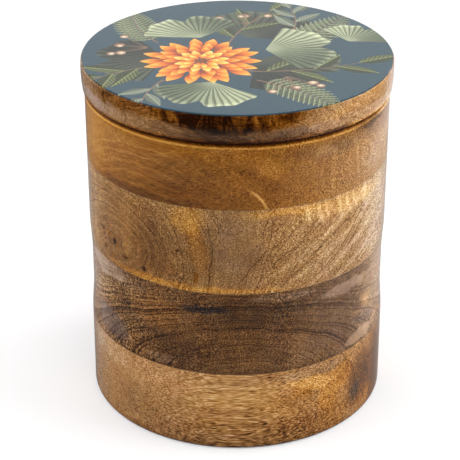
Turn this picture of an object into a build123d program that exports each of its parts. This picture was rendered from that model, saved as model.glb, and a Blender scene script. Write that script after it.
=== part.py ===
from build123d import *
import os

# Wooden storage jar: four glued boards turned hollow, and a lift-off lid with a plug, a seal and a printed top.
# Millimetres. +Z is up, the origin is the middle of the face that it stands on, and -Y is the front.

# Boards of the jar, from the foot up, with a film of glue between each two
base_board_height = 37.4
lower_board_height = 38.3
upper_board_height = 38.7
rim_board_height = 28.45
glue_thickness = 0.15

# Turned outside of the jar
rim_radius = 65.0
foot_swell = 0.35
base_joint_swell = 0.2
waist_depth = 0.7
waist_above_base_joint = 15.0
waist_below_upper_joint = 8.0
waist_end_above_upper_joint = 8.5
rim_edge_radius = 1.1
foot_edge_radius = 1.3

# Turned inside of the jar
wall_thickness = 9.0
floor_thickness = 10.0
floor_cove_radius = 6.0
mouth_edge_radius = 1.0

# Lid board: a slightly barrelled disc over the rim, and a plug inside the mouth
lid_overhang = 1.1
lid_thickness = 12.7
lid_belly = 0.15
lid_belly_below_top = 4.7
lid_undercut = 0.3
lid_lower_edge_radius = 1.4
lid_upper_edge_radius = 0.35
plug_depth = 11.0
plug_clearance = 1.0
plug_edge_radius = 1.5

# Seal: a silicone band in a groove round the plug, with two lips that wipe the mouth
seal_groove_depth = 2.4
seal_groove_height = 5.0
seal_groove_below_rim = 3.0
seal_fit_clearance = 0.05
seal_band_inset = 0.5
seal_wipe_clearance = 0.1
lip_root_thickness = 1.2
lip_tip_thickness = 0.5
lip_rise = 0.7
lip_end_margin = 0.5

# Print on the lid, and the clear coat over it
print_thickness = 0.3
coat_thickness = 0.3
print_edge_inset = 0.1
coat_edge_radius = 0.2

# Heights and radii that follow from the sizes above
base_joint_z = base_board_height
lower_board_z = base_joint_z + glue_thickness
upper_joint_z = lower_board_z + lower_board_height
upper_board_z = upper_joint_z + glue_thickness
rim_joint_z = upper_board_z + upper_board_height
rim_board_z = rim_joint_z + glue_thickness
rim_z = rim_board_z + rim_board_height
lid_top_z = rim_z + lid_thickness
print_top_z = lid_top_z + print_thickness

foot_radius = rim_radius + foot_swell
base_joint_radius = rim_radius + base_joint_swell
waist_radius = rim_radius - waist_depth
bore_radius = rim_radius - wall_thickness
lid_top_radius = rim_radius + lid_overhang
lid_belly_radius = lid_top_radius + lid_belly
lid_lower_radius = lid_top_radius - lid_undercut
plug_radius = bore_radius - plug_clearance
groove_radius = plug_radius - seal_groove_depth
print_radius = lid_top_radius - lid_upper_edge_radius - print_edge_inset

up = (0, 1)
cut_margin = 5.0


def turned(outline):
    """The solid that a closed outline of (radius, height) sweeps round the jar's axis."""
    return revolve(Plane.XZ * make_face(outline), Axis.Z, 360)


def swell(start, end):
    """A shallow S-curve between two points of a turned wall, upright at both."""
    return Spline([start, end], tangents=[up, up])


def edge_round(start, corner, end):
    """A quarter round that replaces the corner between an upright and a level line."""
    return RadiusArc(start, end, round_radius(start, corner, end))


def round_radius(start, corner, end):
    """The radius of a quarter round, positive where the outline turns left."""
    size = abs(start[0] - end[0])
    before = (corner[0] - start[0], corner[1] - start[1])
    after = (end[0] - corner[0], end[1] - corner[1])
    turn = before[0] * after[1] - before[1] * after[0]
    return -size if turn > 0 else size


def jar_outside():
    """The jar as if it were solid: foot, drawn-in waist, straight upper wall and rim."""
    waist_low = (waist_radius, lower_board_z + waist_above_base_joint)
    waist_high = (waist_radius, upper_joint_z - waist_below_upper_joint)
    wall_start = (rim_radius, upper_board_z + waist_end_above_upper_joint)
    base_joint = (base_joint_radius, base_joint_z)
    foot_inner = (foot_radius - foot_edge_radius, 0)
    foot_upper = (foot_radius, foot_edge_radius)
    rim_lower = (rim_radius, rim_z - rim_edge_radius)
    rim_inner = (rim_radius - rim_edge_radius, rim_z)
    return turned([
        Line((0, 0), foot_inner),
        edge_round(foot_inner, (foot_radius, 0), foot_upper),
        swell(foot_upper, base_joint),
        swell(base_joint, waist_low),
        Line(waist_low, waist_high),
        swell(waist_high, wall_start),
        Line(wall_start, rim_lower),
        edge_round(rim_lower, (rim_radius, rim_z), rim_inner),
        Line(rim_inner, (0, rim_z)),
        Line((0, rim_z), (0, 0)),
    ])


def jar_inside():
    """The hollow that is turned out of the jar, with a coved floor and an eased mouth."""
    cove_inner = (bore_radius - floor_cove_radius, floor_thickness)
    cove_upper = (bore_radius, floor_thickness + floor_cove_radius)
    mouth_lower = (bore_radius, rim_z - mouth_edge_radius)
    mouth_outer = (bore_radius + mouth_edge_radius, rim_z)
    above = rim_z + cut_margin
    return turned([
        Line((0, floor_thickness), cove_inner),
        edge_round(cove_inner, (bore_radius, floor_thickness), cove_upper),
        Line(cove_upper, mouth_lower),
        edge_round(mouth_lower, (bore_radius, rim_z), mouth_outer),
        Line(mouth_outer, (mouth_outer[0], above)),
        Line((mouth_outer[0], above), (0, above)),
        Line((0, above), (0, floor_thickness)),
    ])


def layer(jar, bottom, height):
    """The part of the turned jar that lies in one board or one film of glue."""
    reach = rim_radius + foot_swell + base_joint_swell + cut_margin
    slab = Pos(0, 0, bottom) * Cylinder(reach, height, align=(Align.CENTER, Align.CENTER, Align.MIN))
    return jar & slab


def lid_board():
    """The lid in one piece: disc, plug and the groove that the seal sits in."""
    plug_bottom = rim_z - plug_depth
    groove_top = rim_z - seal_groove_below_rim
    groove_bottom = groove_top - seal_groove_height
    belly_z = lid_top_z - lid_belly_below_top
    side_bottom = (lid_lower_radius, rim_z + lid_lower_edge_radius)
    side_top = (lid_top_radius, lid_top_z - lid_upper_edge_radius)
    under_edge = (lid_lower_radius - lid_lower_edge_radius, rim_z)
    top_edge = (lid_top_radius - lid_upper_edge_radius, lid_top_z)
    plug_flat_edge = (plug_radius - plug_edge_radius, plug_bottom)
    plug_side_edge = (plug_radius, plug_bottom + plug_edge_radius)
    return turned([
        Line((0, plug_bottom), plug_flat_edge),
        edge_round(plug_flat_edge, (plug_radius, plug_bottom), plug_side_edge),
        Polyline(
            plug_side_edge,
            (plug_radius, groove_bottom),
            (groove_radius, groove_bottom),
            (groove_radius, groove_top),
            (plug_radius, groove_top),
            (plug_radius, rim_z),
            under_edge,
        ),
        edge_round(under_edge, (lid_lower_radius, rim_z), side_bottom),
        ThreePointArc(side_bottom, (lid_belly_radius, belly_z), side_top),
        edge_round(side_top, (lid_top_radius, lid_top_z), top_edge),
        Line(top_edge, (0, lid_top_z)),
        Line((0, lid_top_z), (0, plug_bottom)),
    ])


def lid_seal():
    """The silicone ring: a band that fills the groove, and two lips that lean up from it."""
    inner = groove_radius + seal_fit_clearance
    outer = plug_radius - seal_band_inset
    tip = bore_radius - seal_wipe_clearance
    top = rim_z - seal_groove_below_rim - seal_fit_clearance
    bottom = rim_z - seal_groove_below_rim - seal_groove_height + seal_fit_clearance
    outline = [(inner, bottom), (outer, bottom)]
    for root in (bottom + lip_end_margin, top - lip_end_margin - lip_root_thickness - lip_rise):
        tip_low = root + lip_rise + (lip_root_thickness - lip_tip_thickness) / 2
        outline += [
            (outer, root),
            (tip, tip_low),
            (tip, tip_low + lip_tip_thickness),
            (outer, root + lip_root_thickness),
        ]
    outline += [(outer, top), (inner, top)]
    return turned(Polyline(*outline, close=True))


def lid_print():
    """The printed sheet on the lid."""
    return disc(print_radius, lid_top_z, print_thickness)


def clear_coat():
    """The clear coat over the print, with its upper edge eased."""
    coat = disc(print_radius, print_top_z, coat_thickness)
    return fillet(coat.edges().group_by(Axis.Z)[-1], coat_edge_radius)


def disc(radius, bottom, thickness):
    """A flat round plate on the jar's axis."""
    return Pos(0, 0, bottom) * Cylinder(radius, thickness, align=(Align.CENTER, Align.CENTER, Align.MIN))


jar = jar_outside() - jar_inside()
glue_films = [layer(jar, z, glue_thickness) for z in (base_joint_z, upper_joint_z, rim_joint_z)]

pieces = {
    "base_board": layer(jar, 0, base_board_height),
    "lower_board": layer(jar, lower_board_z, lower_board_height),
    "upper_board": layer(jar, upper_board_z, upper_board_height),
    "rim_board": layer(jar, rim_board_z, rim_board_height),
    "glue_films": Compound(children=glue_films),
    "lid_board": lid_board(),
    "lid_seal": lid_seal(),
    "lid_print": lid_print(),
    "clear_coat": clear_coat(),
}

os.makedirs("parts", exist_ok=True)
for name, piece in pieces.items():
    export_step(piece, f"parts/{name}.step")
    print(name, round(piece.volume), piece.bounding_box().size)
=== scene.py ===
import math
from collections import namedtuple

import bmesh
import bpy
from mathutils import Matrix, Vector
from mathutils.geometry import delaunay_2d_cdt

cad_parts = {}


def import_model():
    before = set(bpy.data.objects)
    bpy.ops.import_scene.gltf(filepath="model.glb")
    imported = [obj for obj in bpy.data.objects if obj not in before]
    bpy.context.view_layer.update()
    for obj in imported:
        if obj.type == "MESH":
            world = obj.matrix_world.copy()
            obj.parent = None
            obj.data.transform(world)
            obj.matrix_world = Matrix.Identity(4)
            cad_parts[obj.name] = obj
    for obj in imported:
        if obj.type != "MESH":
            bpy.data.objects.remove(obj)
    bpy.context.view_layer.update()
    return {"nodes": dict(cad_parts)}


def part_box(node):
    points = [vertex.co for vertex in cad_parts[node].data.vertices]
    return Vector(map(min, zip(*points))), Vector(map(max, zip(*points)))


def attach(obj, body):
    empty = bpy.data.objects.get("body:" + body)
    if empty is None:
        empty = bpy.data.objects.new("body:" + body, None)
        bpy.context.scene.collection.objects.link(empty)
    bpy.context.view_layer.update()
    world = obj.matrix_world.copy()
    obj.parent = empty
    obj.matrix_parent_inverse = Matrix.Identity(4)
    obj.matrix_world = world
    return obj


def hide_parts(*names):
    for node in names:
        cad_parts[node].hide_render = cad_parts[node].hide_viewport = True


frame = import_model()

# The looks of a wooden storage jar. The scene is in metres, and the patterns of its materials are laid out in
# millimetres.
MM = 0.001
nodes = frame["nodes"]
wall_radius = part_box("rim_board")[1].x / MM
rim_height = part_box("rim_board")[1].z / MM

# Camera: a long lens a little under three quarters of a metre away, looking down
camera_lens = 128.3
sensor_width = 36
camera_place = (0, -648.3 * MM, 409.4 * MM)
camera_target = (-3.1 * MM, 0, 72.3 * MM)

# Floor, the card over it that only reflections show, and the even light from all round
floor_size = 3.0
floor_colour = (0.74, 0.74, 0.75)
floor_glow = 0.26
floor_white_from = 0.25
floor_white_at = 0.8
card_height = MM
card_reach = 0.355
card_edge = 0.01
card_beyond = (0.010, 0.009, 0.008)
world_light = 0.36

# Wood: how much slower the pattern changes along the grain than across it
log_stretch = 0.25
fibre_stretch = 0.08
speck_stretch = 0.12

# Wood: sizes of its bends, clouds, fibres, specks and pores
wander_size = 26.0
ripple_size = 4.0
cloud_size = 8.0
fibre_size = 2.0
speck_size = 0.55
pore_spacing = 0.85

# Patches, which are stains and painted light: how far their outlines wander, and the radii where they are
# gone and where they are whole
drift_size = 9.0
drift_reach = 3.0
patch_gone = 40.0
patch_whole = 60.0

# Bands, of painted highlight and painted shade by the crease and of a darker foot: the radii between which
# they come in at the outer edge
edge_start = wall_radius - 1.5
edge_whole = wall_radius - 0.5

# Lacquer: it is thin in the bore, and in the crease just over and under the place where the lid rests
wall_thickness = 9.0
bore_radius = wall_radius - wall_thickness
bore_end = bore_radius + 0.8
wall_start = bore_radius + 1.4
bore_lacquer = 0.2
crease_end = 1.5
crease_core = 0.8
crease_loss = 0.75


class Field:
    """A number or vector that varies over a surface. Arithmetic on it adds Math nodes."""

    def __init__(self, nodes, socket):
        self.nodes = nodes
        self.socket = socket

    def __add__(self, other):
        return self.nodes.math("ADD", self, other)

    def __sub__(self, other):
        return self.nodes.math("SUBTRACT", self, other)

    def __rsub__(self, other):
        return self.nodes.math("SUBTRACT", other, self)

    def __mul__(self, other):
        return self.nodes.math("MULTIPLY", self, other)

    def __truediv__(self, other):
        return self.nodes.math("DIVIDE", self, other)


class Nodes:
    """A node tree, with one short call for each node that it gets."""

    def __init__(self, tree):
        self.tree = tree
        tree.nodes.clear()

    def add(self, kind, inputs={}, **settings):
        node = self.tree.nodes.new("ShaderNode" + kind)
        for name, value in settings.items():
            setattr(node, name, value)
        for name, value in inputs.items():
            self.feed(node.inputs[name], value)
        return node

    def feed(self, socket, value):
        if isinstance(value, Field):
            value = value.socket
        if isinstance(value, bpy.types.NodeSocket):
            self.tree.links.new(value, socket)
        else:
            socket.default_value = value

    def out(self, node, name=0):
        return Field(self, node.outputs[name])

    def math(self, operation, *values, clamp=False):
        node = self.add("Math", operation=operation, use_clamp=clamp)
        for socket, value in zip(node.inputs, values):
            self.feed(socket, value)
        return self.out(node)

    def vector(self, operation, *values):
        node = self.add("VectorMath", operation=operation)
        for socket, value in zip(node.inputs, values):
            self.feed(socket, value)
        return self.out(node, "Value" if operation == "LENGTH" else "Vector")

    def scaled(self, vector, factor):
        return self.out(self.add("VectorMath", {"Vector": vector, "Scale": factor}, operation="SCALE"))

    def combine(self, x, y, z=0.0):
        return self.out(self.add("CombineXYZ", {"X": x, "Y": y, "Z": z}))

    def separate(self, vector):
        node = self.add("SeparateXYZ", {"Vector": vector})
        return [self.out(node, axis) for axis in "XYZ"]

    def smooth(self, value, low, high, start=0.0, end=1.0):
        """A smooth step from start, where value is low, to end, where it is high."""
        inputs = {"Value": value, "From Min": low, "From Max": high, "To Min": start, "To Max": end}
        return self.out(self.add("MapRange", inputs, interpolation_type="SMOOTHSTEP"))

    def noise(self, place, size, detail=2.0, roughness=0.5, distortion=0.0):
        """Noise from about -1 to 1, with features of that size."""
        inputs = {"Vector": place, "Scale": 1 / size, "Detail": detail}
        inputs |= {"Roughness": roughness, "Distortion": distortion}
        return (self.out(self.add("TexNoise", inputs)) - 0.5) * 2.0

    def noise_vector(self, place, size, detail=2.0, roughness=0.5):
        """Three noises from about -1 to 1, as one vector."""
        inputs = {"Vector": place, "Scale": 1 / size, "Detail": detail, "Roughness": roughness}
        node = self.add("TexNoise", inputs)
        half = self.vector("SUBTRACT", self.out(node, "Color"), (0.5, 0.5, 0.5))
        return self.scaled(half, 2.0)

    def mix(self, share, first, second):
        """The first colour where share is 0, and the second where it is 1."""
        node = self.add("Mix", {"Factor": share}, data_type="RGBA")
        colours = [socket for socket in node.inputs if socket.type == "RGBA"]
        self.feed(colours[0], first)
        self.feed(colours[1], second)
        return Field(self, next(socket for socket in node.outputs if socket.type == "RGBA"))

    def ramp(self, value, stops):
        """A colour for each value, from a list of (value, colour)."""
        node = self.add("ValToRGB", {"Fac": value})
        elements = node.color_ramp.elements
        while len(elements) < len(stops):
            elements.new(0.5)
        for element, (position, colour) in zip(elements, stops):
            element.position = position
            element.color = (*colour, 1)
        return self.out(node, "Color")


def new_material(name):
    material = bpy.data.materials.new(name)
    material.use_nodes = True
    return material, Nodes(material.node_tree)


def finish_material(nodes, shader):
    output = nodes.add("OutputMaterial")
    nodes.tree.links.new(shader.outputs[0], output.inputs["Surface"])


# Wood. Azimuth is in degrees, 0 at the front and more to the right. Heights are in millimetres from the foot.
# A patch is a stain or a change in the wood, or painted light: a paler, greyer painted sheen at a side, a
# painted haze of reflection, or painted shade or highlight by the crease. It is an ellipse on the unrolled
# wall, tilted in degrees and bowed, with an edge from 0, hard, to 1, soft. Tone makes it lighter or darker
# and warmth more amber or greyer, figure and grain strengthen or weaken its rings and specks, and flame adds
# upright
# streaks. A band goes all round: painted highlight or painted shade along the crease where the lid rests, or
# a darker line along the foot.
PATCH_PARTS = "azimuth height width tall tilt edge tone warmth figure bow grain flame"
Patch = namedtuple("Patch", PATCH_PARTS, defaults=[0, 0, 0, 0, 0])
Band = namedtuple("Band", "height tall tone warmth")

# Each board is cut from its own log. It shows end grain at one azimuth and long grain a quarter turn away.
# The pith is the middle of the rings, flat and lean change their shape, and warp bends them. The next six are
# the width of a ring and the strength of rings, their last lines, pores, specks and fibres. Tone and warmth
# are the whole board's, and green and blue scale those parts of its colour.
Board = namedtuple("Board", [
    "end_grain", "pith_across", "pith_height", "flat", "lean", "warp",
    "ring", "rings", "lines", "pores", "grain", "fibre",
    "tone", "warmth", "green", "blue", "patches", "bands",
])

# Colours of grey, brown and amber wood, from the darkest tone to the palest
GREY_WOOD = [
    (0.0, (0.012, 0.009, 0.008)),
    (0.25, (0.056, 0.039, 0.033)),
    (0.5, (0.175, 0.125, 0.102)),
    (0.75, (0.370, 0.286, 0.235)),
    (1.0, (0.650, 0.555, 0.475)),
]
BROWN_WOOD = [
    (0.0, (0.012, 0.006, 0.003)),
    (0.25, (0.062, 0.027, 0.009)),
    (0.5, (0.205, 0.100, 0.034)),
    (0.75, (0.460, 0.260, 0.110)),
    (1.0, (0.760, 0.550, 0.320)),
]
AMBER_WOOD = [
    (0.0, (0.018, 0.004, 0.0005)),
    (0.25, (0.110, 0.032, 0.003)),
    (0.5, (0.310, 0.115, 0.012)),
    (0.75, (0.620, 0.310, 0.060)),
    (1.0, (0.920, 0.640, 0.290)),
]


def diagonal_stripes():
    """Pale streaks that fan out to the upper right over the upper board."""
    return [
        Patch(33 + 5 * k, 97.5 - 5.6 * k, 62 - 6 * k, 2.6, 31 - 1.5 * k, 0.5, 0.13, -0.1)
        for k in range(4)
    ]


def curly_bars():
    """Bright upright bars where the grain curls, under the upper board's top edge."""
    bars = []
    for k in range(7):
        sway = math.sin(k * 2.3)
        place = 26 + 4.6 * k + sway
        bars.append(Patch(place, 110 - 0.6 * sway, 1.8 + 0.7 * sway, 10, 14, 0.8, 0.17))
    return bars


def rim_arcs():
    """Long flat arcs in the left half of the rim board, every third of them pale."""
    tones = [0.09, -0.06, -0.06]
    return [
        Patch(-40, 137 - 1.45 * k, 78 - 2 * k, 0.5, 3, 0.8, tones[k % 3], 0, 0, -0.009)
        for k in range(14)
    ]


def spalt_spots(azimuth, height, count, reach):
    """Small dark and amber spots round a knot."""
    spots = []
    for k in range(count):
        turn = k * 2.4
        away = reach * (0.45 + 0.55 * (k % 3) / 2)
        place = azimuth + math.degrees(away * math.cos(turn) / wall_radius)
        up = height + 0.6 * away * math.sin(turn)
        size = 1.4 + 0.6 * math.sin(k * 1.3)
        tone, warmth = (-0.28, 0.5) if k % 2 else (-0.05, 1.0)
        spots.append(Patch(place, up, size * 1.4, size, 20, 0.7, tone, warmth))
    return spots


BOARDS = {
    "rim_board": Board(
        end_grain=55, pith_across=0, pith_height=127, flat=1.0, lean=0.0, warp=3.0,
        ring=4.2, rings=0.08, lines=0.10, pores=0.16, grain=0.34, fibre=0.05,
        tone=0.54, warmth=0.86, green=0.98, blue=1.0,
        patches=[
            # Painted sheen: paler at the left side
            Patch(-74, 130, 34, 46, 0, 0.8, 0.14, 0.40),
            Patch(-22, 127, 26, 12, 0, 0.7, -0.08, -0.10),
            Patch(-32, 120, 20, 6, 0, 0.7, -0.06),
            Patch(-45, 129, 76, 60, 0, 0.5, -0.03, 0.0, -0.9, 0, -0.45),
            Patch(-30, 118, 80, 13, 0, 0.6, -0.08, -0.10),
            Patch(-38, 115.5, 62, 4.5, 0, 0.6, -0.10, -0.25),
            Patch(0, 126, 60, 44, 0, 0.6, -0.08, 0.05, -0.8),
            Patch(30, 132, 30, 30, 0, 0.8, 0.01, -0.20),
            Patch(36, 137, 36, 8, 0, 0.6, -0.05, -0.35),
            Patch(66, 138, 30, 9, 0, 0.6, -0.08, -0.20),
            Patch(-10, 133, 20, 5, -30, 0.6, -0.04),
            Patch(6, 129, 20, 3.5, -38, 0.7, -0.08),
            Patch(13, 126, 16, 3.0, -38, 0.7, -0.07),
            Patch(12, 133, 7, 9, 20, 0.7, 0.08, 0.1),
            Patch(8, 119, 1.3, 11, 48, 0.7, 0.34),
            Patch(33, 137, 9, 6, -30, 0.8, 0.10, -0.1),
            Patch(37, 124, 3, 26, 6, 0.8, 0.07),
            Patch(58, 126, 46, 40, 0, 0.7, 0.06, -0.45, 0.4, 0, 0.7),
            Patch(58, 124, 13, 11, -15, 0.4, 0.07, -0.1, 1.0),
            Patch(49, 127, 2, 22, 10, 0.8, 0.10),
            # Painted sheen: paler and greyer at the right side
            Patch(70, 124, 30, 40, 0, 0.8, 0.16, -0.35),
            Patch(58, 141, 20, 4, 0, 0.7, -0.22, -0.3),
            # Painted highlight just under the lid's edge on the right
            Patch(74, 143, 34, 3, 0, 0.8, 0.25),
        ] + rim_arcs(),
        # Painted highlight along the rim's rounded edge, and painted shade in the crease under the lid
        bands=[Band(141.7, 0.6, 0.18, 0.2), Band(143.2, 1.0, -0.26, 0.6)],
    ),
    "upper_board": Board(
        end_grain=-5, pith_across=-48, pith_height=89, flat=1.0, lean=0.9, warp=2.0,
        ring=5.0, rings=0.09, lines=0.16, pores=0.26, grain=0.52, fibre=0.12,
        tone=0.59, warmth=0.20, green=0.99, blue=1.0,
        patches=[
            Patch(-52, 90, 50, 44, 0, 0.5, -0.05, 0.05, 0.6, 0, -0.45),
            Patch(-34, 98, 14, 34, 10, 0.6, -0.07),
            Patch(-26, 88, 34, 30, 0, 0.7, -0.08, -0.05),
            Patch(-18, 109, 15, 13, 0, 0.35, 0.07, 0.60),
            Patch(-14, 97, 8, 24, 15, 0.5, -0.03, 0.5),
            # Painted sheen: paler and greyer at both sides
            Patch(-72, 96, 30, 70, 0, 0.8, 0.13, -0.1),
            Patch(72, 96, 36, 70, 0, 0.8, 0.13, -0.35),
            Patch(46, 96, 40, 60, 0, 0.8, 0.06, -0.1),
            Patch(-44, 96, 20, 20, 0, 0.8, 0.05, 0.1),
            Patch(-1, 97, 26, 30, 0, 0.5, -0.05, -0.22, -0.6),
            Patch(14, 106, 34, 18, 0, 0.6, 0.05, 0.1),
            Patch(18, 113, 34, 4, 0, 0.6, 0.12, 0.6),
            Patch(44, 110, 44, 8, 0, 0.6, 0.10, 0.5, -0.8),
            Patch(-30, 77.5, 50, 3.5, 0, 0.7, 0.10, 0.8),
            Patch(0, 77, 40, 2.5, 0, 0.7, 0.08, 0.6),
            Patch(38, 95, 50, 30, 0, 0.6, 0.03, 0.0, 0.7),
            Patch(64, 98, 30, 50, 0, 0.7, 0.10, -0.1),
            Patch(68, 108, 18, 14, 0, 0.7, 0.09),
            Patch(-54, 88, 18, 26, 0, 0.7, -0.07),
            Patch(-52, 88, 3.0, 2.4, 20, 0.6, -0.45, 0.1),
            Patch(-37, 81, 2.0, 2.6, 10, 0.6, -0.45, 0.3),
            Patch(-22, 94, 1.5, 1.2, 0, 0.6, -0.35),
            Patch(-15, 83, 2, 6, 0, 0.5, -0.15, 1.0),
            Patch(-9, 97, 32, 0.5, 93, 0.6, -0.17, 0.0, 0, 0.010),
            Patch(8, 92, 38, 0.5, 47, 0.6, -0.18, 0.0, 0, -0.012),
            Patch(14, 90, 38, 0.5, 44, 0.6, -0.18, 0.0, 0, -0.012),
            Patch(32, 93, 54, 0.8, 34, 0.6, -0.16, 0.0, 0, -0.004),
        ] + spalt_spots(-55, 87, 10, 12) + diagonal_stripes() + curly_bars(),
        bands=[],
    ),
    "lower_board": Board(
        end_grain=3, pith_across=0, pith_height=30, flat=0.6, lean=0.0, warp=1.6,
        ring=3.4, rings=0.12, lines=0.22, pores=0.34, grain=0.66, fibre=0.14,
        tone=0.37, warmth=0.04, green=0.98, blue=1.04,
        patches=[
            # Painted sheen: paler and greyer at the left side
            Patch(-78, 59, 38, 60, 0, 0.9, 0.42, -0.40, 0, 0, -0.5),
            Patch(-50, 57, 40, 50, 0, 0.6, 0.04, 0.0, 0.3, 0, 0.2),
            Patch(-60, 72, 32, 9, 0, 0.15, 0.20, -0.35, 0, 0, -0.5),
            Patch(-57, 46, 26, 12, -10, 0.3, -0.03, -0.60, -0.6, 0, -0.6),
            Patch(-33, 62, 26, 16, 0, 0.2, 0.05, 0.30, 0.8),
            Patch(-60, 60, 26, 14, 12, 0.4, 0.05, 0.2, 0.9),
            Patch(-12, 67.5, 20, 3.6, 0, 0.3, -0.18, -0.6),
            Patch(4, 66, 36, 12, 0, 0.7, -0.09, -0.2),
            Patch(0, 57, 80, 50, 0, 0.6, 0.0, 0.1, 0, 0, -0.25),
            Patch(5, 41, 80, 5, 0, 0.7, 0.04),
            Patch(-24, 46, 34, 16, 0, 0.8, -0.09),
            Patch(-30, 41, 14, 4, 0, 0.3, 0.15, -0.2),
            Patch(24, 47, 9, 14, 0, 0.8, 0.09, -0.1),
            Patch(30, 45, 14, 10, 0, 0.7, 0.07, -0.1),
            Patch(-20, 57, 30, 16, 0, 0.7, 0.04),
            Patch(-36, 68, 36, 12, 0, 0.7, 0.06),
            Patch(-42, 45, 18, 10, 0, 0.7, 0.08, 0.1),
            Patch(18, 73, 30, 3.5, 0, 0.3, 0.14, -0.30),
            Patch(46, 69, 26, 6, 0, 0.2, 0.16, -0.30, -0.6, 0, -0.3),
            Patch(52, 56, 50, 56, 0, 0.7, 0.07, -0.25, 0, 0, -0.55),
            Patch(60, 56, 10, 5, -20, 0.6, 0.16, 0.4),
            Patch(58, 48, 18, 6, -15, 0.5, -0.06, -0.3),
            Patch(55, 41, 22, 6, 0, 0.15, 0.18, -0.1, -0.6, 0, -0.4),
            # Painted sheen: paler and greyer at the right side
            Patch(76, 62, 38, 60, 0, 0.9, 0.38, -0.20),
        ],
        bands=[],
    ),
    "base_board": Board(
        end_grain=90, pith_across=-150, pith_height=-12, flat=1.0, lean=0.0, warp=2.0,
        ring=4.0, rings=0.07, lines=0.10, pores=0.36, grain=0.46, fibre=0.14,
        tone=0.65, warmth=0.28, green=0.96, blue=1.02,
        patches=[
            # Painted sheen: paler and greyer at the left side
            Patch(-76, 20, 30, 60, 0, 0.8, 0.08, -0.45, -0.7),
            Patch(-60, 32, 34, 12, 0, 0.3, 0.09, -0.2, -0.7),
            Patch(-55, 16, 44, 30, 0, 0.6, -0.02, 0.0, -0.7, 0, -0.2),
            Patch(-36, 10, 30, 16, 0, 0.7, -0.04, -0.05),
            Patch(-10, 31, 84, 16, 0, 0.5, 0.09, 0.1),
            Patch(0, 19, 50, 20, 0, 0.7, 0.03, 0.2),
            Patch(5, 5, 70, 14, 0, 0.6, -0.06, 0.0, 0.3, 0, 0.3),
            Patch(30, 24, 34, 30, 0, 0.8, -0.07, 0.25),
            Patch(30, 34, 36, 6, 0, 0.25, 0.0, -0.40, -0.9),
            Patch(31, 28, 22, 6, -12, 0.4, 0.11, 0.9, -0.4),
            Patch(26, 25, 9, 5, 0, 0.5, -0.02, 0.5),
            Patch(38, 20, 9, 18, -20, 0.5, 0.02, 0.7, -0.4),
            Patch(45, 27, 12, 12, 0, 0.5, -0.06, 0.6),
            Patch(55, 18, 17, 28, -12, 0.4, -0.22),
            Patch(53, 15, 6, 10, -12, 0.6, -0.14, -0.6),
            Patch(74, 16, 30, 36, 0, 0.6, -0.36, 0.50),
            Patch(60, 8, 14, 9, 20, 0.5, 0.02, 0.4),
            Patch(42, 8, 14, 14, 0, 0.6, -0.08, 0.3),
            Patch(22, 6, 30, 12, 0, 0.6, -0.08, 0.1),
            Patch(0, 1, 150, 4, 0, 0.8, -0.12),
        ],
        bands=[Band(0.4, 0.9, -0.3, 0.0)],
    ),
    "lid_board": Board(
        end_grain=75, pith_across=-20, pith_height=170, flat=1.0, lean=0.0, warp=6.0,
        ring=4.4, rings=0.08, lines=0.08, pores=0.12, grain=0.40, fibre=0.14,
        tone=0.46, warmth=0.50, green=0.98, blue=1.04,
        patches=[
            # Painted sheen: paler and much greyer at the left side
            Patch(-76, 150, 54, 40, 0, 0.7, 0.20, -0.80),
            Patch(-46, 154, 34, 7, 0, 0.6, -0.15, 0.2),
            Patch(-4, 155, 60, 12.5, 0, 0.15, -0.27, 0.4, -0.5, 0, -0.4, 0.7),
            Patch(-9, 155, 22, 13, 0, 0.5, -0.22),
            Patch(12, 154, 20, 9, 0, 0.6, 0.04, 0.4),
            Patch(2, 146.5, 62, 8, 0, 0.4, -0.18, 0.05),
            Patch(-4, 146.5, 20, 6, 0, 0.6, -0.06, -0.2),
            # Painted reflection: a pale grey haze along the lower part of the lid's side
            Patch(-28, 148.3, 128, 6.2, 0, 0.10, 0.10, -0.45, 0, 0, -0.4),
            Patch(20, 147.5, 30, 7, 8, 0.5, 0.04, -0.15),
            # Painted sheen: paler and greyer over the right half of the lid's side
            Patch(58, 149, 76, 40, 0, 0.22, 0.24, -0.40, 0, 0, 0.05),
            Patch(50, 154, 50, 5, 8, 0.5, 0.02, 0.25),
            # Painted shadow just over the crease, on the front right
            Patch(36, 144.5, 16, 2.4, 0, 0.5, -0.35),
            # Painted sheen: paler and greyer at the right side
            Patch(78, 150, 30, 40, 0, 0.8, 0.12, -0.40),
            # Painted highlight at the lid's lower edge on the right
            Patch(70, 143.6, 40, 4, 0, 0.8, 0.30),
        ],
        # Painted shade on the lid's lower round, which faces down, and deeper painted shade in the crease
        bands=[Band(144.3, 1.5, -0.12, 1.0), Band(143.5, 1.2, -0.6, 0.8)],
    ),
}


def patch_group():
    """A node group that says how far a place on the unrolled wall is inside one patch, from 0 to 1."""
    tree = bpy.data.node_groups.new("wood_patch", "ShaderNodeTree")
    names = ["Place", "Centre", "Size", "Tilt", "Edge", "Bow"]
    for name in names:
        kind = "NodeSocketVector" if name in names[:3] else "NodeSocketFloat"
        tree.interface.new_socket(name, in_out="INPUT", socket_type=kind)
    tree.interface.new_socket("Share", in_out="OUTPUT", socket_type="NodeSocketFloat")
    n = Nodes(tree)
    given = tree.nodes.new("NodeGroupInput")
    place, centre, size, tilt, edge, bow = (n.out(given, name) for name in names)
    offset = n.vector("SUBTRACT", place, centre)
    turned = n.add("VectorRotate", {"Vector": offset, "Angle": tilt}, rotation_type="Z_AXIS")
    x, y, _ = n.separate(n.out(turned))
    bowed = n.combine(x, y - x * x * bow)
    distance = n.vector("LENGTH", n.vector("DIVIDE", bowed, size))
    share = n.smooth(distance, edge + 1.0, 1.0 - edge)
    result = tree.nodes.new("NodeGroupOutput")
    n.feed(result.inputs["Share"], share)
    return tree


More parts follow.
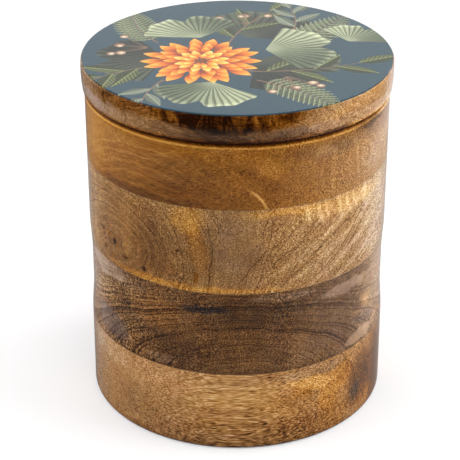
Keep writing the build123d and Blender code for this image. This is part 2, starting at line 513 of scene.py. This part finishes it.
# Edge is 1 at the outer edge and 0 inside it. In_log is the place along, across and up the log, with its
# length along the grain scaled down.
Place = namedtuple("Place", "point x y z radius edge along across in_log bent_across bent_up")


def place_in_log(n, board):
    """Where a point lies in the jar and in the board's log, whose grain bends a little across and up."""
    point = n.scaled(n.out(n.add("TexCoord"), "Object"), 1 / MM)
    x, y, z = n.separate(point)
    radius = n.vector("LENGTH", n.combine(x, y))
    edge = n.smooth(radius, edge_start, edge_whole)
    turn = math.radians(board.end_grain)
    along = x * math.sin(turn) - y * math.cos(turn)
    across = x * math.cos(turn) + y * math.sin(turn)
    in_log = n.combine(along * log_stretch, across, z)
    wander = n.scaled(n.noise_vector(in_log, wander_size, detail=2.5), board.warp * 1.8)
    ripple = n.scaled(n.noise_vector(in_log, ripple_size), board.warp * 0.24)
    _, shift_across, shift_up = n.separate(n.vector("ADD", wander, ripple))
    bent_across = across + shift_across
    bent_up = z + shift_up
    return Place(point, x, y, z, radius, edge, along, across, in_log, bent_across, bent_up)


def stains_and_painted_light(n, board, at, group):
    """Tone, warmth, figure and grain, with the board's patches and bands, stains and painted light among
    them. The back repeats the patches.
    """
    azimuth = n.math("ARCTAN2", at.x, at.y * -1.0)
    near_side = n.math("WRAP", azimuth, math.pi / 2, -math.pi / 2)
    drift = n.scaled(n.noise_vector(at.point, drift_size, detail=6.0, roughness=0.6), drift_reach)
    unrolled = n.vector("ADD", n.combine(near_side * wall_radius, at.z), drift)
    bent = n.combine(at.along * log_stretch, at.bent_across, at.bent_up)
    clouds = n.noise(bent, cloud_size, detail=3.0, roughness=0.55, distortion=0.4)
    slow_warmth = n.noise(at.in_log, wander_size, detail=3.0) * 0.35
    quick_warmth = n.noise(at.in_log, 5.0, detail=3.0, roughness=0.6) * 0.30
    looks = {
        "tone": clouds * 0.10 + board.tone,
        "warmth": slow_warmth + quick_warmth + board.warmth,
        "figure": n.smooth(n.noise(at.in_log, 30.0), -0.5, 0.6, start=0.5, end=1.2),
        "grain": n.smooth(n.noise(at.in_log, 22.0), -0.5, 0.5, start=0.8, end=1.2),
    }
    skin = n.smooth(at.radius, patch_gone, patch_whole)
    for patch in board.patches:
        share = patch_share(n, patch, unrolled, group) * skin
        for look in looks:
            strength = getattr(patch, look)
            if strength:
                looks[look] = share * strength + looks[look]
        if patch.flame:
            across_wall, up_wall, _ = n.separate(unrolled)
            upright = n.combine(across_wall, up_wall * 0.3)
            streaks = n.noise(upright, 3.0, detail=4.0, roughness=0.6, distortion=0.8)
            flame = streaks * share * patch.flame
            looks["tone"] = looks["tone"] + flame
            looks["warmth"] = looks["warmth"] + flame * 0.8
    for band in board.bands:
        off_middle = n.math("ABSOLUTE", at.z - band.height)
        share = n.smooth(off_middle, band.tall, band.tall * 0.4) * at.edge
        looks["tone"] = share * band.tone + looks["tone"]
        looks["warmth"] = share * band.warmth + looks["warmth"]
    return looks


def patch_share(n, patch, unrolled, group):
    """How far a place on the unrolled wall is inside the patch, from 0 to 1."""
    inputs = {
        "Place": unrolled,
        "Centre": (math.radians(patch.azimuth) * wall_radius, patch.height, 0),
        "Size": (patch.width / 2, patch.tall / 2, 1),
        "Tilt": math.radians(-patch.tilt),
        "Edge": patch.edge,
        "Bow": patch.bow,
    }
    return n.out(n.add("Group", inputs, node_tree=group))


def growth_rings(n, board, at):
    """How far through a year's growth a point is, from 0 to 1, and its share of late wood and last line."""
    ring_up = at.bent_up - board.pith_height
    ring_across = (at.bent_across - board.pith_across) * board.flat
    distance = n.vector("LENGTH", n.combine(ring_across, ring_up))
    if board.lean:
        distance = distance - ring_up * n.smooth(at.across, -5.0, 45.0, end=board.lean)
    inputs = {"W": distance / (board.ring * 2.5), "Detail": 2.0}
    uneven = n.out(n.add("TexNoise", inputs, noise_dimensions="1D"))
    growth = n.math("FRACT", distance / board.ring + uneven * 2.2)
    year_end = n.smooth(growth, 1.0, 0.95)
    late = n.smooth(growth, 0.30, 0.93) * year_end
    gaps = n.noise(n.combine(at.along * 0.3, at.across, at.z), 5.0, detail=3.0)
    line = n.smooth(growth, 0.80, 0.93) * year_end * n.smooth(gaps, -0.5, 0.35)
    return growth, late, line


def fibres_and_pores(n, at, growth):
    """Fibres, specks and open pores, all long in the direction of the grain."""
    long_place = n.combine(at.along * fibre_stretch, at.bent_across, at.bent_up)
    short_place = n.combine(at.along * speck_stretch, at.bent_across, at.bent_up)
    fibre = n.noise(long_place, fibre_size, detail=3.0, roughness=0.6)
    speck = n.noise(short_place, speck_size, detail=1.0, roughness=0.6)
    cells = n.add("TexVoronoi", {"Vector": short_place, "Scale": 1 / pore_spacing})
    chance = n.separate(n.out(cells, "Color"))[0]
    early = n.smooth(growth, 0.9, 0.1, start=0.5, end=1.2)
    pore = n.smooth(n.out(cells), 0.42, 0.12) * n.smooth(chance, 0.2, 0.6) * early
    return fibre, speck, pore


def wood_colour(n, board, at, tone, warmth):
    """The colour of a tone, from grey over brown to amber, a little redder or greener here and there."""
    amber = n.math("ADD", warmth, 0.0, clamp=True)
    grey = n.math("MULTIPLY", warmth, -1.0, clamp=True)
    colour = n.mix(amber, n.ramp(tone, BROWN_WOOD), n.ramp(tone, AMBER_WOOD))
    colour = n.mix(grey, colour, n.ramp(tone, GREY_WOOD))
    elsewhere = n.vector("ADD", at.in_log, (40, 0, 0))
    redness = n.noise(elsewhere, 9.0, detail=4.0, roughness=0.6)
    tint = n.combine(1.0, redness * -0.10 + board.green, redness * 0.06 + board.blue)
    return n.vector("MULTIPLY", colour, tint)


def lacquer(n, at):
    """The share of lacquer: full outside, thin in the bore and in the crease between the lid and the rim."""
    crease = n.smooth(n.math("ABSOLUTE", at.z - rim_height), crease_end, crease_core) * at.edge
    return n.smooth(at.radius, bore_end, wall_start, start=bore_lacquer) - crease * crease_loss


def wood(name, board, group):
    """Lacquered wood of one board, as a solid pattern of stains, painted light and shade, rings, fibres and
    pores.
    """
    material, n = new_material(name)
    at = place_in_log(n, board)
    looks = stains_and_painted_light(n, board, at, group)
    growth, late, line = growth_rings(n, board, at)
    fibre, speck, pore = fibres_and_pores(n, at, growth)
    rings = (late * board.rings + line * board.lines) * looks["figure"]
    specks = (speck * board.grain - pore * board.pores) * looks["grain"]
    tone = looks["tone"] + fibre * board.fibre + specks - rings

    # The lacquer fills most of each pore, and is uneven where the board was sanded by hand
    sanding = n.noise(at.point, 14.0) * 0.10
    bump = n.add("Bump", {"Height": sanding - pore * 0.04 - line * 0.02, "Distance": MM, "Strength": 0.5})
    coat_bump = n.add("Bump", {"Height": sanding - pore * 0.012, "Distance": MM, "Strength": 0.3})
    shader = n.add("BsdfPrincipled", {
        "Base Color": wood_colour(n, board, at, tone, looks["warmth"]),
        "Roughness": n.smooth(tone, 0.1, 0.8, start=0.42, end=0.58),
        "Specular IOR Level": 0.0,
        "Normal": n.out(bump),
        "Coat Weight": lacquer(n, at),
        "Coat Roughness": 0.08,
        "Coat IOR": 1.5,
        "Coat Normal": n.out(coat_bump),
    })
    finish_material(n, shader)
    return material


def dress(node, material):
    """Gives a CAD node its material, as its one material slot."""
    mesh = nodes[node].data
    mesh.materials.clear()
    mesh.materials.append(material)


def plain(name, colour, roughness):
    """A slightly cloudy, slightly grainy material of one colour."""
    material, n = new_material(name)
    place = n.scaled(n.out(n.add("TexCoord"), "Object"), 1 / MM)
    shade = n.smooth(n.noise(place, 3.0, detail=3.0), -0.6, 0.6)
    darker = tuple(0.8 * part for part in colour)
    bump = n.add("Bump", {"Height": n.noise(place, 0.8), "Distance": 0.02 * MM, "Strength": 0.5})
    shader = n.add("BsdfPrincipled", {
        "Base Color": n.mix(shade, (*darker, 1), (*colour, 1)),
        "Roughness": n.smooth(shade, 0, 1, start=roughness, end=roughness + 0.1),
        "Normal": n.out(bump),
    })
    finish_material(n, shader)
    return material


def clear_resin():
    """Clear resin that lets lamps through to the print."""
    material, n = new_material("clear_resin")
    place = n.scaled(n.out(n.add("TexCoord"), "Object"), 1 / MM)
    bump = n.add("Bump", {"Height": n.noise(place, 18.0), "Distance": 0.05 * MM, "Strength": 0.4})
    resin = n.add("BsdfPrincipled", {
        "Base Color": (1, 1, 1, 1),
        "Roughness": 0.05,
        "IOR": 1.5,
        "Transmission Weight": 1.0,
        "Normal": n.out(bump),
    })
    open_to_lamps = n.add("BsdfTransparent")
    share = n.out(n.add("LightPath"), "Is Shadow Ray")
    mixed = n.add("MixShader", {"Fac": share})
    n.tree.links.new(resin.outputs[0], mixed.inputs[1])
    n.tree.links.new(open_to_lamps.outputs[0], mixed.inputs[2])
    finish_material(n, mixed)
    return material


group = patch_group()
for board_name, board in BOARDS.items():
    dress(board_name, wood(board_name, board, group))
dress("glue_films", plain("glue", (0.10, 0.055, 0.025), 0.5))
dress("lid_seal", plain("silicone", (0.75, 0.74, 0.72), 0.45))
dress("clear_coat", clear_resin())


# Print on the lid: a flower, fan leaves, sprigs, ferns and berries on a plain ground, in one sheet without
# gaps. Outlines are in units of the motif's own length, which runs along its first axis from 0 to 1. The
# sheet is a hair narrower than the solid that it replaces, and its top is a hair higher, in the clear coat.
Motif = namedtuple("Motif", "kind outline place angle size")
leaf_width = 0.19
leaf_fullness = 0.85
leaflet_width = 0.17
leaflet_fullness = 0.9
petal_fullness = 1.25
sheet_inset = 0.05
sheet_lift = 0.01
sheet_steps = 160
merge_distance = 1e-4
print_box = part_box("lid_print")
sheet_radius = print_box[1].x / MM - sheet_inset
sheet_bottom = print_box[0].z / MM
sheet_top = print_box[1].z / MM + sheet_lift
bloom_centre = (-15, -9)


def blade(width, fullness, steps=14):
    """A leaf or petal, pointed at both ends. Outlines run anticlockwise."""
    side = [(k / steps, -width * math.sin(math.pi * (k / steps) ** fullness)) for k in range(1, steps)]
    return [(0, 0)] + side + [(1, 0)] + [(x, -y) for x, y in reversed(side)]


def fan(spread=1.15, notch=0.22, steps=36):
    """A fan leaf with a notch in the middle and a wavy edge."""
    rim = []
    for k in range(steps + 1):
        turn = spread * (2 * k / steps - 1)
        reach = 1 - notch * math.exp(-((turn / 0.12) ** 2)) + 0.025 * math.sin(turn * 13) - 0.10 * turn ** 2
        rim.append((reach * math.cos(turn), reach * math.sin(turn)))
    return [(0, 0)] + rim


def round_shape(steps=18):
    """A circle as wide as the motif is long."""
    turns = [2 * math.pi * k / steps for k in range(steps)]
    return [(0.5 + 0.5 * math.cos(turn), 0.5 * math.sin(turn)) for turn in turns]


def stroke(points, width):
    """A stem through points in millimetres, thinner towards its end."""
    left, right = [], []
    for k, point in enumerate(points):
        before = Vector(points[max(k - 1, 0)])
        after = Vector(points[min(k + 1, len(points) - 1)])
        ahead = (after - before).normalized()
        half_width = width / 2 * (1 - 0.6 * k / (len(points) - 1))
        side = Vector((-ahead.y, ahead.x)) * half_width
        left.append(tuple(Vector(point) + side))
        right.append(tuple(Vector(point) - side))
    return Motif("stem", right + left[::-1], (0, 0), 0, 1)


def bend(start, angle, length, curve, steps=12):
    """Points and directions along a stem that starts at an angle in degrees and turns as it goes."""
    points, turns = [Vector(start)], [math.radians(angle)]
    for k in range(steps):
        turns.append(turns[-1] + math.radians(curve) / steps)
        step = Vector((math.cos(turns[-1]), math.sin(turns[-1]))) * length / steps
        points.append(points[-1] + step)
    return points, turns


def bloom(centre, heart_size=5.2):
    """A many-petalled flower, from its outer petals to its heart."""
    # Kind, number of petals, their length and width, where they start, and how far the ring is turned
    rings = [
        ("petal", 18, 15.0, 0.19, 10.5, 0),
        ("petal", 16, 13.5, 0.20, 7.5, 11),
        ("petal", 14, 11.5, 0.21, 5.0, 3),
        ("inner_petal", 12, 9.0, 0.22, 3.2, 14),
        ("inner_petal", 9, 6.5, 0.24, 1.5, 6),
    ]
    motifs = []
    for kind, count, length, width, start, twist in rings:
        for k in range(count):
            angle = 360 * k / count + twist + 4 * math.sin(k * 2.4)
            turn = math.radians(angle)
            place = (centre[0] + start * math.cos(turn), centre[1] + start * math.sin(turn))
            size = length * (1 + 0.05 * math.sin(k * 1.7))
            motifs.append(Motif(kind, blade(width, petal_fullness), place, angle, size))
    heart = (centre[0] - heart_size / 2, centre[1])
    return motifs + [Motif("heart", round_shape(), heart, 0, heart_size)]


def fern(start, angle, length, curve, leaflet):
    """A frond with a leaflet on each side at every step."""
    points, turns = bend(start, angle, length, curve, 16)
    outline = blade(leaflet_width, leaflet_fullness, 8)
    motifs = []
    for k in range(2, len(points)):
        share = k / (len(points) - 1)
        size = leaflet * math.sin(math.pi * (0.16 + 0.80 * share)) + 1.0
        for side in (-1, 1):
            lean = math.degrees(turns[k]) + side * (68 - 26 * share)
            motifs.append(Motif("fern", outline, points[k], lean, size))
    return motifs + [stroke(points, 0.9)]


def sprig(start, angle, length, curve, leaf, kind):
    """A stem with alternate long leaves and one at its tip."""
    points, turns = bend(start, angle, length, curve, 10)
    outline = blade(leaf_width, leaf_fullness)
    motifs = [stroke(points, 1.0)]
    for k in range(2, 10, 2):
        side = 1 if k % 4 else -1
        lean = math.degrees(turns[k]) + side * 42
        size = leaf * (1.05 - 0.03 * k)
        motifs.append(Motif(kind, outline, points[k], lean, size))
    motifs.append(Motif(kind, outline, points[-1], math.degrees(turns[-1]), leaf * 0.9))
    return motifs


def berries(start, angle, count, reach):
    """Berries on thin stems that spread from one point."""
    motifs = []
    for k in range(count):
        lean = angle + 78 * (k / (count - 1) - 0.5)
        points, turns = bend(start, lean, reach * (0.8 + 0.2 * math.cos(k * 2.1)), 26 * (k % 2 - 0.5), 6)
        size = 4.3 + 0.5 * math.sin(k * 1.9)
        end = points[-1]
        motifs.append(stroke(points, 0.7))
        motifs.append(Motif("berry", round_shape(), end, math.degrees(turns[-1]), size))
    return motifs


def print_motifs():
    """Everything on the ground of the print, from back to front."""
    motifs = []
    motifs.append(Motif("dark_fan", fan(), (8, -8), -30, 36))
    motifs.append(Motif("dark_fan", fan(), (-30, -6), 186, 30))
    motifs.append(Motif("dark_fan", fan(), (4, 18), 58, 34))
    motifs += fern((14, 6), 34, 52, 30, 12)
    motifs += fern((-34, 12), 128, 40, -34, 11)
    motifs += fern((8, -30), -28, 42, -26, 10)
    motifs += sprig((-4, 10), 78, 46, -22, 22, "dark_leaf")
    motifs += sprig((-36, -16), 196, 28, 30, 22, "dark_leaf")
    motifs += sprig((2, -20), -8, 50, 34, 23, "dark_leaf")
    motifs += sprig((-30, -30), 236, 26, 30, 16, "pale_leaf")
    motifs += sprig((24, 26), 74, 30, 30, 17, "pale_leaf")
    motifs += berries((20, -26), -64, 5, 15)
    motifs += berries((-38, 6), 176, 5, 15)
    motifs += berries((4, 34), 96, 4, 13)
    motifs.append(Motif("fan_leaf", fan(), (12, 4), 8, 30))
    motifs.append(Motif("fan_leaf", fan(), (-16, 18), 112, 27))
    motifs.append(Motif("fan_leaf", fan(), (-10, -32), -104, 26))
    motifs.append(Motif("fan_leaf", fan(), (48, 14), 62, 20))
    return motifs + bloom(bloom_centre)


def placed(motif):
    """The motif's outline on the lid, in millimetres."""
    turn = Matrix.Rotation(math.radians(motif.angle), 2)
    return [Vector(motif.place) + turn @ (Vector(point) * motif.size) for point in motif.outline]


def local(motif, point):
    """Where a point on the lid lies in the motif's own units."""
    turn = Matrix.Rotation(-math.radians(motif.angle), 2)
    return turn @ (Vector(point) - Vector(motif.place)) / motif.size


def divided(motifs):
    """The plane divided along every outline: its points and faces, and the motifs over each face."""
    corners, outlines = [], []
    for motif in motifs:
        points = placed(motif)
        outlines.append(list(range(len(corners), len(corners) + len(points))))
        corners += points
    parts = delaunay_2d_cdt(corners, [], outlines, 1, merge_distance)
    return parts[0], parts[2], parts[5]


def close_below(build, material_index):
    """Gives the sheet its side and its underside."""
    rim = [edge for edge in build.edges if edge.is_boundary]
    lower = bmesh.ops.extrude_edge_only(build, edges=rim)["geom"]
    for vert in (item for item in lower if isinstance(item, bmesh.types.BMVert)):
        vert.co.z = sheet_bottom * MM
    underside = [item for item in lower if isinstance(item, bmesh.types.BMEdge) and item.is_boundary]
    for face in bmesh.ops.edgeloop_fill(build, edges=underside)["faces"]:
        face.material_index = material_index


def printed_sheet():
    """The sheet. Each part of its top belongs to the topmost motif there, or to the ground."""
    ground = Motif("ground", round_shape(sheet_steps), (-sheet_radius, 0), 0, 2 * sheet_radius)
    motifs = [ground] + print_motifs()
    points, faces, owners = divided(motifs)
    kinds = sorted({motif.kind for motif in motifs})
    mesh = bpy.data.meshes.new("printed_sheet")
    for kind in kinds:
        mesh.materials.append(ink(kind))
    build = bmesh.new()
    unit = build.loops.layers.uv.new("motif")
    made = [build.verts.new((point.x * MM, point.y * MM, sheet_top * MM)) for point in points]
    for face, owner in zip(faces, owners):
        if 0 not in owner:
            continue
        motif = motifs[max(owner)]
        part = build.faces.new([made[k] for k in face])
        part.material_index = kinds.index(motif.kind)
        for loop, k in zip(part.loops, face):
            loop[unit].uv = local(motif, points[k])
    close_below(build, kinds.index("ground"))
    loose = [vert for vert in build.verts if not vert.link_faces]
    bmesh.ops.delete(build, geom=loose, context="VERTS")
    bmesh.ops.recalc_face_normals(build, faces=build.faces)
    build.to_mesh(mesh)
    build.free()
    sheet = bpy.data.objects.new("printed_sheet", mesh)
    bpy.context.scene.collection.objects.link(sheet)
    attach(sheet, "lid")
    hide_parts("lid_print")


def ink(kind):
    """Printed colour of one kind of motif, with its veins, streaks and shading, on slightly grainy paper."""
    material, n = new_material("print_" + kind)
    coordinates = n.add("TexCoord")
    place = n.scaled(n.out(coordinates, "Object"), 1 / MM)
    u, v, _ = n.separate(n.out(coordinates, "UV"))
    mottle = n.noise(place, 7.0, detail=4.0)
    grain = n.noise(place, 0.5)
    shade, stops = INKS[kind](n, u, v, place)
    colour = n.ramp(shade + mottle * 0.05 + grain * 0.06, stops)
    bump = n.add("Bump", {"Height": grain, "Distance": 0.003 * MM, "Strength": 0.4})
    shader = n.add("BsdfPrincipled", {
        "Base Color": colour,
        "Roughness": n.smooth(grain, -1.0, 1.0, start=0.5, end=0.7),
        "Specular IOR Level": 0.1,
        "Normal": n.out(bump),
    })
    finish_material(n, shader)
    return material


def from_edge(n, u, v, width, fullness):
    """How far a place in a blade is from its midrib, 0, to its edge, 1."""
    bow = n.math("SINE", n.math("POWER", u, fullness) * math.pi) * width
    return n.math("ABSOLUTE", v) / (bow + 0.004)


def ground_ink(n, u, v, place):
    cloud = n.noise(place, 24.0, detail=5.0, roughness=0.6)
    return cloud * 0.20 + 0.5, [
        (0.0, (0.014, 0.038, 0.056)),
        (0.5, (0.024, 0.064, 0.088)),
        (1.0, (0.046, 0.096, 0.120)),
    ]


def petal_ink(n, u, v, place):
    edge = from_edge(n, u, v, 0.20, petal_fullness)
    streak = n.noise(n.combine(u * 1.2, v * 26.0, n.separate(place)[0] * 0.2), 1.0)
    shade = n.smooth(u, 0.25, 1.0) * 0.75 + streak * 0.12 - n.smooth(edge, 0.75, 1.0) * 0.28 + 0.15
    return shade, [
        (0.0, (0.12, 0.010, 0.002)),
        (0.3, (0.45, 0.080, 0.004)),
        (0.65, (0.86, 0.26, 0.010)),
        (1.0, (1.0, 0.60, 0.10)),
    ]


def inner_petal_ink(n, u, v, place):
    edge = from_edge(n, u, v, 0.23, petal_fullness)
    streak = n.noise(n.combine(u * 1.2, v * 26.0, n.separate(place)[1] * 0.2), 1.0)
    shade = n.smooth(u, 0.1, 1.0) * 0.8 + streak * 0.10 - n.smooth(edge, 0.72, 1.0) * 0.25 + 0.12
    return shade, [
        (0.0, (0.42, 0.06, 0.004)),
        (0.35, (0.86, 0.26, 0.015)),
        (0.7, (1.0, 0.55, 0.09)),
        (1.0, (1.0, 0.80, 0.32)),
    ]


def heart_ink(n, u, v, place):
    dots = n.out(n.add("TexVoronoi", {"Vector": place, "Scale": 1.6}))
    return n.smooth(dots, 0.1, 0.6), [
        (0.0, (0.75, 0.38, 0.05)),
        (0.5, (0.35, 0.10, 0.012)),
        (1.0, (0.10, 0.025, 0.004)),
    ]


def leaf_shade(n, u, v, width, fullness, ribs):
    """Light and dark of a blade with a pale midrib and pairs of side ribs."""
    edge = from_edge(n, u, v, width, fullness)
    out = n.math("ABSOLUTE", v)
    rib = n.math("FRACT", (u - out * 1.1) * ribs)
    crease = n.smooth(rib, 0.0, 0.16) * n.smooth(rib, 1.0, 0.55, start=0.35)
    midrib = n.smooth(out, 0.018, 0.006)
    half = n.smooth(v, -0.01, 0.01, start=-0.1, end=0.1)
    return crease * 0.42 + midrib * 0.45 + half - n.smooth(edge, 0.8, 1.0) * 0.16 + 0.16


def fern_ink(n, u, v, place):
    return leaf_shade(n, u, v, leaflet_width, leaflet_fullness, 5), [
        (0.0, (0.014, 0.022, 0.012)),
        (0.5, (0.090, 0.115, 0.055)),
        (1.0, (0.54, 0.57, 0.34)),
    ]


def dark_leaf_ink(n, u, v, place):
    return leaf_shade(n, u, v, leaf_width, leaf_fullness, 9), [
        (0.0, (0.005, 0.008, 0.003)),
        (0.5, (0.036, 0.048, 0.014)),
        (1.0, (0.34, 0.38, 0.14)),
    ]


def pale_leaf_ink(n, u, v, place):
    return leaf_shade(n, u, v, leaf_width, leaf_fullness, 9), [
        (0.0, (0.035, 0.050, 0.035)),
        (0.5, (0.15, 0.18, 0.125)),
        (1.0, (0.46, 0.50, 0.37)),
    ]


def fan_shade(n, u, v, place):
    """Light and dark of a fan leaf: ribs that spread from its stem, a dark side and a pale edge."""
    turn = n.math("ARCTAN2", v, u)
    reach = n.vector("LENGTH", n.combine(u, v))
    rib = n.math("FRACT", turn * 7.0 + n.noise(place, 12.0) * 0.3)
    fine = n.math("FRACT", turn * 28.0)
    crease = n.smooth(rib, 0.0, 0.25) * n.smooth(rib, 1.0, 0.5, start=0.2) * 0.42
    hair = n.smooth(fine, 0.0, 0.5) * 0.10
    side = n.smooth(v + n.noise(place, 16.0) * 0.2, -0.6, 0.5, start=-0.16, end=0.20)
    edge = n.smooth(reach, 0.84, 0.95) * 0.18
    stem_end = n.smooth(reach, 0.35, 0.0) * 0.2
    return crease + hair + side + edge + stem_end + 0.12


def fan_leaf_ink(n, u, v, place):
    return fan_shade(n, u, v, place), [
        (0.0, (0.018, 0.028, 0.016)),
        (0.45, (0.110, 0.140, 0.076)),
        (1.0, (0.64, 0.67, 0.44)),
    ]


def dark_fan_ink(n, u, v, place):
    return fan_shade(n, u, v, place), [
        (0.0, (0.004, 0.006, 0.004)),
        (0.5, (0.014, 0.020, 0.012)),
        (1.0, (0.12, 0.15, 0.09)),
    ]


def berry_ink(n, u, v, place):
    off_middle = n.vector("LENGTH", n.combine(u - 0.42, v - 0.12))
    return n.smooth(off_middle, 0.6, 0.0) + n.noise(place, 1.0) * 0.1, [
        (0.0, (0.13, 0.06, 0.035)),
        (0.3, (0.42, 0.27, 0.17)),
        (0.75, (0.58, 0.43, 0.30)),
        (1.0, (0.86, 0.74, 0.58)),
    ]


def stem_ink(n, u, v, place):
    return n.noise(place, 1.2) * 0.3 + 0.5, [
        (0.0, (0.08, 0.035, 0.02)),
        (1.0, (0.36, 0.22, 0.13)),
    ]


INKS = {
    "ground": ground_ink,
    "petal": petal_ink,
    "inner_petal": inner_petal_ink,
    "heart": heart_ink,
    "fern": fern_ink,
    "dark_leaf": dark_leaf_ink,
    "pale_leaf": pale_leaf_ink,
    "fan_leaf": fan_leaf_ink,
    "dark_fan": dark_fan_ink,
    "berry": berry_ink,
    "stem": stem_ink,
}
printed_sheet()


# Stage: a floor, a card, soft lamps, the world and the camera
def square(name, size, height, material):
    """A flat square under the jar, as part of the stage."""
    half = size / 2
    mesh = bpy.data.meshes.new(name)
    corners = [(-half, -half), (half, -half), (half, half), (-half, half)]
    mesh.from_pydata([(*corner, height) for corner in corners], [], [(0, 1, 2, 3)])
    mesh.materials.append(material)
    piece = bpy.data.objects.new(name, mesh)
    bpy.context.scene.collection.objects.link(piece)
    return piece


def seen_directly(n):
    """1 for what the camera, a reflection or a clear piece shows, 0 for what lights the object."""
    path = n.add("LightPath")
    seen = n.out(path, "Is Camera Ray") + n.out(path, "Is Glossy Ray") + n.out(path, "Is Transmission Ray")
    return n.math("ADD", seen, 0.0, clamp=True)


def floor_material():
    """Pale and shadowed near the jar, and white in the distance."""
    material, n = new_material("floor")
    diffuse = n.add("BsdfDiffuse", {"Color": (*floor_colour, 1)})
    seen = seen_directly(n)
    glow = n.add("Emission", {"Strength": seen * floor_glow})
    near = n.add("AddShader")
    n.tree.links.new(diffuse.outputs[0], near.inputs[0])
    n.tree.links.new(glow.outputs[0], near.inputs[1])
    white = n.add("Emission", {"Strength": 1.0})
    reach = n.vector("LENGTH", n.out(n.add("TexCoord"), "Object"))
    mixed = n.add("MixShader", {"Fac": n.smooth(reach, floor_white_from, floor_white_at) * seen})
    n.tree.links.new(near.outputs[0], mixed.inputs[1])
    n.tree.links.new(white.outputs[0], mixed.inputs[2])
    finish_material(n, mixed)
    return material


# Grey of the card by direction, from behind the jar over its left, front and right to behind it again
CARD_GREYS = [
    (0.0, (0.36, 0.36, 0.37)),
    (0.17, (0.22, 0.22, 0.22)),
    (0.36, (0.14, 0.14, 0.14)),
    (0.5, (0.12, 0.12, 0.12)),
    (0.56, (0.17, 0.17, 0.17)),
    (0.67, (0.36, 0.35, 0.34)),
    (1.0, (0.42, 0.41, 0.40)),
]

# Other greys on it. Each comes in from one azimuth to the next, and from one distance to the next.
CardPart = namedtuple("CardPart", "azimuth full_azimuth reach full_reach colour")
CARD_PARTS = [
    CardPart(-95, -120, 0.255, 0.275, (0.14, 0.14, 0.14)),
    CardPart(85, 125, 0.293, 0.306, (0.55, 0.53, 0.53)),
]


def card_material():
    """Greys round the jar, as darker and paler parts of a studio, and near black beyond the card's reach."""
    material, n = new_material("card")
    x, y, _ = n.separate(n.out(n.add("TexCoord"), "Object"))
    reach = n.vector("LENGTH", n.combine(x, y))
    turn = n.math("ARCTAN2", x, y * -1.0)
    colour = n.ramp(turn / (2 * math.pi) + 0.5, CARD_GREYS)
    for part in CARD_PARTS:
        share = n.smooth(turn, math.radians(part.azimuth), math.radians(part.full_azimuth))
        share = share * n.smooth(reach, part.reach, part.full_reach)
        colour = n.mix(share, colour, (*part.colour, 1))
    behind = n.smooth(n.math("ABSOLUTE", turn), math.radians(120), math.radians(150))
    beyond = n.smooth(reach, card_reach - card_edge, card_reach + card_edge) * (1.0 - behind)
    colour = n.mix(beyond, colour, (*card_beyond, 1))
    finish_material(n, n.add("BsdfDiffuse", {"Color": colour}))
    return material


def reflected_card():
    """A card over the floor that only reflections show."""
    piece = square("card", floor_size, card_height, card_material())
    piece.visible_camera = False
    piece.visible_shadow = False
    piece.visible_diffuse = False
    piece.visible_transmission = False


def softbox(name, place, target, size, watts):
    """A soft white lamp that reflections don't show."""
    lamp = bpy.data.lights.new(name, "AREA")
    lamp.shape = "RECTANGLE"
    lamp.size, lamp.size_y = size
    lamp.energy = watts
    piece = bpy.data.objects.new(name, lamp)
    piece.location = place
    aim(piece, target)
    bpy.context.scene.collection.objects.link(piece)
    piece.visible_glossy = False


def aim(piece, target):
    """Turns a lamp or camera towards a point."""
    direction = Vector(target) - Vector(piece.location)
    piece.rotation_euler = direction.to_track_quat("-Z", "Y").to_euler()


def world():
    """White behind everything, a plain level of light, and a darker front for the reflections."""
    scene_world = bpy.data.worlds.new("studio")
    scene_world.use_nodes = True
    bpy.context.scene.world = scene_world
    n = Nodes(scene_world.node_tree)
    ahead = n.separate(n.out(n.add("TexCoord"), "Generated"))[1]
    glossy = n.out(n.add("LightPath"), "Is Glossy Ray")
    less = n.smooth(ahead, -0.1, 0.3, start=0.9, end=0.18)
    strength = seen_directly(n) * (1.0 - world_light) + world_light - glossy * less
    background = n.add("Background", {"Color": (1, 1, 1, 1), "Strength": strength})
    output = n.add("OutputWorld")
    n.tree.links.new(background.outputs[0], output.inputs["Surface"])


def camera():
    """The camera that the render uses."""
    lens = bpy.data.cameras.new("camera")
    lens.lens = camera_lens
    lens.sensor_width = sensor_width
    piece = bpy.data.objects.new("camera", lens)
    piece.location = camera_place
    aim(piece, camera_target)
    bpy.context.scene.collection.objects.link(piece)
    bpy.context.scene.camera = piece


square("floor", floor_size, 0, floor_material())
reflected_card()
world()
softbox("overhead", (0, 0.1, 1.5), (0, 0, 0.1), size=(1.6, 1.6), watts=10)
softbox("right_softbox", (1.05, 0.0, 0.6), (0, 0, 0.08), size=(1.2, 0.9), watts=13)
softbox("left_softbox", (-1.05, 0.0, 0.6), (0, 0, 0.08), size=(1.2, 0.9), watts=9)
softbox("front_softbox", (0.3, -1.3, 0.8), (0, 0, 0.08), size=(1.4, 1.0), watts=4)
camera()
bpy.context.scene.view_settings.view_transform = "Standard"
